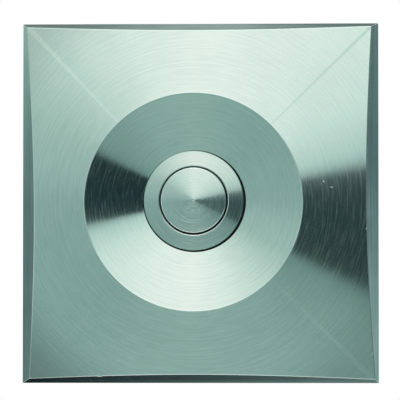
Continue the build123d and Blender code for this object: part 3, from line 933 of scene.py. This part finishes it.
# Guide plate: a moulded nylon disc against the ledge in the bush. The plunger slides in its hole and the
# return spring stands on it, centred by its boss.
guide_break = 0.0002
boss_radius = spring_pocket[1]
guide_bore = plunger_radius + play
guide_plate = turn(
    "guide_plate_moulded",
    (
        (guide_bore, -guide_high.y),
        (guide_high.x - guide_break, -guide_high.y),
        (guide_high.x, -guide_high.y + guide_break),
        (guide_high.x, ledge_height),
        (boss_radius, ledge_height),
        (boss_radius, -guide_low.y - guide_break),
        (boss_radius - guide_break, -guide_low.y),
        (guide_bore, -guide_low.y),
        (guide_bore, -guide_high.y),
    ),
    steps=96,
)
smooth(guide_plate, angle=30)
stand_for(guide_plate, "guide_plate", "plate", "pale_plastic", nylon)

# Contact base: a cup moulded in black insulating plastic, with slots for the two brass strips and a
# barrier between their screws. It closes the back of the switch.
black_plastic = grained(
    "black plastic", light=(0.055, 0.055, 0.06), dark=(0.03, 0.03, 0.033),
    steps=(0.0005, 0.0005, 0.0005), roughness=0.48, spread=0.16, depth=8e-6, metallic=0.0,
)
dress("contact_base", "plate", "black_plastic", black_plastic, edge=0.00012)

# Terminals: two strips stamped from brass, bent to a contact inside and left as a tapped tab outside.
# They are pushed through the slots of the base.
for node in ("left_terminal", "right_terminal"):
    dress(node, "plate", "contact_brass", brass, edge=0.0001)

# Fixed tips: two silver tips riveted on the inner ends of the strips. The bridge's tips meet them when the
# button is pressed.
dress("fixed_tips", "plate", "silver", silver, edge=0.00012, segments=3)

# Base clip: a snap ring stamped from spring steel. It is sprung in the groove at the back of the bush, and
# holds the base in.
dress("base_clip", "plate", "spring_steel", spring_steel, edge=0.0001)

# Wire clamps: two square washers stamped from steel sheet, under the heads of the terminal screws. They
# press the bell wires on the tabs.
dress("wire_clamps", "plate", "sheet_steel", sheet_steel, edge=0.00012)

# Terminal screws: two pan-head screws of nickel-plated steel with slotted heads. They go through the tapped
# holes of the tabs, and press the clamps on the bell wires.
screws_low, screws_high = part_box("terminal_screws")
clamps_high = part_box("wire_clamps")[1]
head_radius = screws_high.z
head_front = screws_high.x
head_back = clamps_high.x
head_round = 0.0005
rounding_steps = 6
slot_width = 0.0006
slot_reach = 1.2 * head_radius
slot_front = 1.5 * head_front
slot_floor = (head_front + head_back) / 2
screw_core = 0.001
screw_crest = 0.00125
screw_pitch = 0.00045
screw_break = 0.0002
screw_end = 0.0014


def place_copies(piece, places):
    """Turns and moves copies of a piece made on the switch's axis to their places, and joins them."""
    copies = []
    for turned_by, location in places:
        choose(piece)
        bpy.ops.object.duplicate()
        bpy.context.object.rotation_euler = turned_by
        bpy.context.object.location = location
        bpy.ops.object.transform_apply()
        copies.append(bpy.context.object)
    bpy.data.objects.remove(piece)
    join(*copies)
    return copies[0]


head_rounding = []
for count in range(rounding_steps + 1):
    angle = pi / 2 * count / rounding_steps
    head_rounding.append(
        (head_radius - head_round * (1 - sin(angle)), head_front - head_round * (1 - cos(angle)))
    )
terminal_screw = turn(
    "terminal_screw",
    (
        (0, head_front),
        *head_rounding,
        (head_radius, head_back),
        (screw_core, head_back),
        (screw_core, screw_end + screw_break),
        (screw_core - screw_break, screw_end),
        (0, screw_end),
    ),
    steps=64,
)
slot = block(
    "slot", (-slot_reach, -slot_front, -slot_width / 2), (slot_reach, -slot_floor, slot_width / 2)
)
cut(terminal_screw, slot)
screw_thread = thread(
    "screw_thread", screw_core, screw_crest, screw_pitch, head_back - play, screw_end + screw_break
)
join(terminal_screw, screw_thread)
screws_middle = (0, (screws_low.y + screws_high.y) / 2, 0)
terminal_screws = place_copies(
    terminal_screw, [((0, 0, side * pi / 2), screws_middle) for side in (-1, 1)]
)
terminal_screws.name = "terminal_screws_slotted"
smooth(terminal_screws, angle=25)
stand_for(terminal_screws, "terminal_screws", "plate", "nickel_nut", nickel)

# Wall plate: a bent square of stainless sheet that is screwed on the wall first. Its joggled tongue hooks
# in the slot of the face plate, and the grub screws press on its lower flange.
dress("wall_plate", "plate", "sheet_steel", sheet_steel, edge=0.00015)

# Grub screws: two stainless set screws with hexagon sockets and cone points, in tapped holes through the
# lower edge of the face plate.
grub_low, grub_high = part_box("grub_screws")
grub_crest = grub_high.x - grub_places[1]
grub_core = 0.8 * grub_crest
grub_outer = -grub_low.z
grub_tip = -grub_high.z
grub_shoulder = grub_tip + grub_crest
grub_pitch = 0.0005
grub_lead = 0.0002
socket_half = 0.00075
socket_depth = 0.002
grub_screw = turn(
    "grub_screw",
    ((0, grub_outer), (grub_core, grub_outer), (grub_core, grub_tip + grub_core), (0, grub_tip)),
    steps=64,
)
bpy.ops.object.select_all(action="DESELECT")
bpy.ops.mesh.primitive_cylinder_add(
    vertices=6,
    radius=socket_half / cos(pi / 6),
    depth=2 * socket_depth,
    location=(0, -grub_outer, 0),
    rotation=(pi / 2, 0, 0),
)
cut(grub_screw, bpy.context.object)
grub_thread = thread(
    "grub_thread", grub_core, grub_crest, grub_pitch, grub_outer - grub_lead, grub_shoulder
)
join(grub_screw, grub_thread)
grub_screws = place_copies(
    grub_screw, [((pi / 2, 0, 0), (place_x, -grub_height, 0)) for place_x in grub_places]
)
grub_screws.name = "grub_screws_threaded"
smooth(grub_screws, angle=25)
screw_steel = grained(
    "set screw steel", light=(0.50, 0.51, 0.52), dark=(0.38, 0.39, 0.40),
    steps=(0.0004, 0.0004, 0.0004), roughness=0.34, spread=0.12, depth=2e-6,
)
stand_for(grub_screws, "grub_screws", "plate", "screw_steel", screw_steel)

# Floor: a pale painted table that stands well below the part and isn't a piece of it. It is short enough
# not to show in the plate's lower bevel.
floor_place = (0, -0.07, -0.25)
floor_size = (0.6, 0.36, 1)
floor_dark = (0.86, 0.86, 0.86, 1)
floor_light = (0.92, 0.92, 0.92, 1)
floor_roughness = 0.7
bpy.ops.object.select_all(action="DESELECT")
bpy.ops.mesh.primitive_plane_add(size=1, location=floor_place)
floor = bpy.context.object
floor.name = "floor"
floor.scale = floor_size
bpy.ops.object.transform_apply()
floor_paint = bpy.data.materials.new("pale floor")
floor_paint.use_nodes = True
tree = floor_paint.node_tree
floor_shader = tree.nodes["Principled BSDF"]
floor_mottle = add(tree, "TexNoise", {"Vector": add(tree, "TexCoord").outputs["Object"], "Scale": 9.0})
floor_mix = {"Factor": floor_mottle.outputs["Fac"], 6: floor_dark, 7: floor_light}
floor_tone = add(tree, "Mix", floor_mix, data_type="RGBA")
tree.links.new(floor_tone.outputs[2], floor_shader.inputs["Base Color"])
floor_shader.inputs["Roughness"].default_value = floor_roughness
floor.data.materials.append(floor_paint)

# Studio: a white room, with a lit screen above the camera, darker ones beside and below it, and one black
# flag to its right. The camera stands straight in front, a little to the right and below.
plate_middle = Vector(((plate_low.x + plate_high.x) / 2, -edge_land, 0))
camera_distance = 0.7
camera_right = 0.0269
camera_below = 0.025
frame_pixels = 400
plate_size = 0.08
plate_pixels = 358.0
pixel = plate_size / plate_pixels
aim_right = -0.45 * pixel
aim_up = 1.5 * pixel
camera_data = bpy.data.cameras.new("camera")
camera = bpy.data.objects.new("camera", camera_data)
bpy.context.scene.collection.objects.link(camera)
camera.location = (camera_right, -edge_land - camera_distance, -camera_below)
aim = plate_middle + Vector((aim_right, 0, aim_up))
camera.rotation_euler = (aim - camera.location).to_track_quat("-Z", "Y").to_euler()
camera_data.lens = camera_data.sensor_width * camera_distance / (frame_pixels * pixel)
camera_data.clip_start = 0.01
bpy.context.scene.camera = camera

world = bpy.data.worlds.new("studio")
bpy.context.scene.world = world
world.use_nodes = True
tree = world.node_tree
background = tree.nodes["Background"]
axis = Vector((-camera_right, -camera_distance, camera_below)).normalized()
right = Vector((0, 0, 1)).cross(axis).normalized()
up = axis.cross(right)
look = add(tree, "TexCoord").outputs["Generated"]


def along(direction):
    """How far a look goes along a direction."""
    return add(tree, "VectorMath", {0: look, 1: direction}, operation="DOT_PRODUCT").outputs["Value"]


def screens(stops):
    """Colours round the camera's axis, given as degrees from the right, against the clock, and colour."""
    ramp = add(tree, "ValToRGB", {0: round_axis})
    elements = ramp.color_ramp.elements
    while len(elements) < len(stops):
        elements.new(0.5)
    for element, (degrees, colour) in zip(elements, stops):
        element.position = degrees / 360
        element.color = (*colour, 1)
    return ramp.outputs["Color"]


def fade(inner, outer, start, end):
    """One set of colours that goes over to another between two angles off the camera's axis."""
    share = add(tree, "MapRange", {0: off_axis, 1: radians(start), 2: radians(end)}).outputs[0]
    return add(tree, "Mix", {"Factor": share, 6: inner, 7: outer}, data_type="RGBA").outputs[2]


round_axis = work_out(tree, "ARCTAN2", along(up), along(right))
round_axis = work_out(tree, "FRACT", work_out(tree, "MULTIPLY_ADD", round_axis, 1 / (2 * pi), 1.0))
off_axis = work_out(tree, "ARCCOSINE", along(axis))
walls = (0.80, 0.84, 0.83)
flag = (0.005, 0.014, 0.019)
dark_side = (0.14, 0.18, 0.18)

# Close round the camera, where the button and the collar reflect.
near_screens = screens(
    (
        (0, (0.08, 0.138, 0.143)),
        (4.5, (0.115, 0.175, 0.18)),
        (9, (0.215, 0.29, 0.29)),
        (12.3, (0.44, 0.53, 0.51)),
        (16.5, (0.58, 0.68, 0.64)),
        (27, (0.75, 0.81, 0.77)),
        (60, (0.95, 0.97, 0.93)),
        (90, (1.05, 1.01, 0.98)),
        (120, (0.84, 0.89, 0.85)),
        (135, (0.70, 0.78, 0.74)),
        (152, (0.52, 0.62, 0.59)),
        (170, (0.46, 0.57, 0.54)),
        (185, (0.31, 0.43, 0.41)),
        (215, (0.26, 0.37, 0.36)),
        (270, (0.28, 0.375, 0.36)),
        (300, (0.25, 0.355, 0.34)),
        (318, (0.21, 0.30, 0.29)),
        (330, (0.17, 0.25, 0.24)),
        (336, (0.075, 0.125, 0.125)),
        (345, (0.06, 0.11, 0.115)),
    )
)

# Further out, where the face and the dish reflect. The flag makes the dark wedges.
front_screens = screens(
    (
        (0, flag),
        (11.6, flag),
        (13.5, (0.39, 0.50, 0.47)),
        (17.8, (0.65, 0.77, 0.73)),
        (33, (0.92, 0.96, 0.925)),
        (60, (1.12, 1.05, 1.03)),
        (90, (1.22, 1.09, 1.07)),
        (110, (1.05, 1.02, 0.99)),
        (135, (0.69, 0.77, 0.73)),
        (152, (0.465, 0.58, 0.54)),
        (166, (0.42, 0.54, 0.51)),
        (180, (0.33, 0.45, 0.43)),
        (225, (0.31, 0.44, 0.41)),
        (270, (0.375, 0.50, 0.465)),
        (300, (0.34, 0.465, 0.44)),
        (325, (0.26, 0.37, 0.36)),
        (331, (0.21, 0.31, 0.30)),
        (335, flag),
    )
)

# Further still, where broken edges reflect.
rim_screens = screens(
    (
        (0, (0.11, 0.15, 0.15)),
        (20, (0.46, 0.53, 0.51)),
        (45, (1.22, 1.18, 1.15)),
        (90, (1.36, 1.28, 1.25)),
        (120, (1.05, 1.05, 1.02)),
        (150, (0.70, 0.78, 0.75)),
        (180, (0.62, 0.70, 0.67)),
        (205, (0.40, 0.50, 0.47)),
        (225, (0.24, 0.34, 0.32)),
        (270, (0.30, 0.40, 0.38)),
        (315, (0.24, 0.33, 0.32)),
        (335, (0.17, 0.23, 0.22)),
    )
)

# Beside the part, where its sides reflect when it is seen at a slant.
side_screens = screens(
    (
        (0, dark_side),
        (8, dark_side),
        (22, (0.42, 0.47, 0.46)),
        (60, (1.00, 1.00, 0.98)),
        (90, (1.50, 1.45, 1.42)),
        (120, (1.00, 1.00, 0.98)),
        (150, (0.50, 0.58, 0.56)),
        (180, (0.60, 0.68, 0.66)),
        (240, (0.42, 0.49, 0.47)),
        (270, (0.46, 0.53, 0.51)),
        (300, (0.40, 0.47, 0.45)),
        (338, (0.50, 0.56, 0.55)),
        (352, dark_side),
    )
)

# Behind the part, where the ground sides reflect when it is seen from the front.
back_screens = screens(
    (
        (0, (0.27, 0.38, 0.37)),
        (1.5, (0.31, 0.42, 0.41)),
        (3.4, (0.195, 0.28, 0.273)),
        (5.2, (0.125, 0.185, 0.195)),
        (12, (0.155, 0.22, 0.215)),
        (26, walls),
        (76, walls),
        (90, (0.15, 0.19, 0.18)),
        (93.5, (0.20, 0.25, 0.24)),
        (95.7, (0.35, 0.41, 0.39)),
        (98.5, (0.36, 0.42, 0.40)),
        (100.5, (0.26, 0.31, 0.30)),
        (104, (0.18, 0.22, 0.21)),
        (118, walls),
        (156, walls),
        (169, (0.47, 0.62, 0.56)),
        (171.5, (0.42, 0.55, 0.50)),
        (173.5, (0.215, 0.32, 0.31)),
        (175.7, (0.145, 0.21, 0.21)),
        (177, (0.13, 0.185, 0.19)),
        (183, (0.17, 0.235, 0.23)),
        (198, walls),
        (236, walls),
        (248, (0.006, 0.010, 0.012)),
        (258.5, (0.008, 0.013, 0.015)),
        (261.5, (0.026, 0.040, 0.043)),
        (265, (0.058, 0.086, 0.085)),
        (268.5, (0.128, 0.172, 0.167)),
        (274, (0.168, 0.222, 0.214)),
        (288, walls),
        (344, walls),
        (356, (0.27, 0.38, 0.37)),
    )
)

# The camera sees plain white, and the steel mirrors the screens.
white = (1, 1, 1, 1)
room = fade(near_screens, front_screens, start=16, end=20.5)
room = fade(room, rim_screens, start=35, end=39)
room = fade(room, side_screens, start=44, end=56)
room = fade(room, (*walls, 1), start=86, end=92)
room = fade(room, back_screens, start=98, end=108)
room = fade(room, white, start=171, end=178)
path = add(tree, "LightPath").outputs
plain = work_out(tree, "MAXIMUM", path["Is Camera Ray"], path["Is Diffuse Ray"])
plain = work_out(tree, "MAXIMUM", plain, path["Is Transmission Ray"])
seen = add(tree, "Mix", {"Factor": plain, 6: room, 7: white}, data_type="RGBA")
tree.links.new(seen.outputs[2], background.inputs["Color"])
bpy.context.scene.view_settings.view_transform = "Standard"
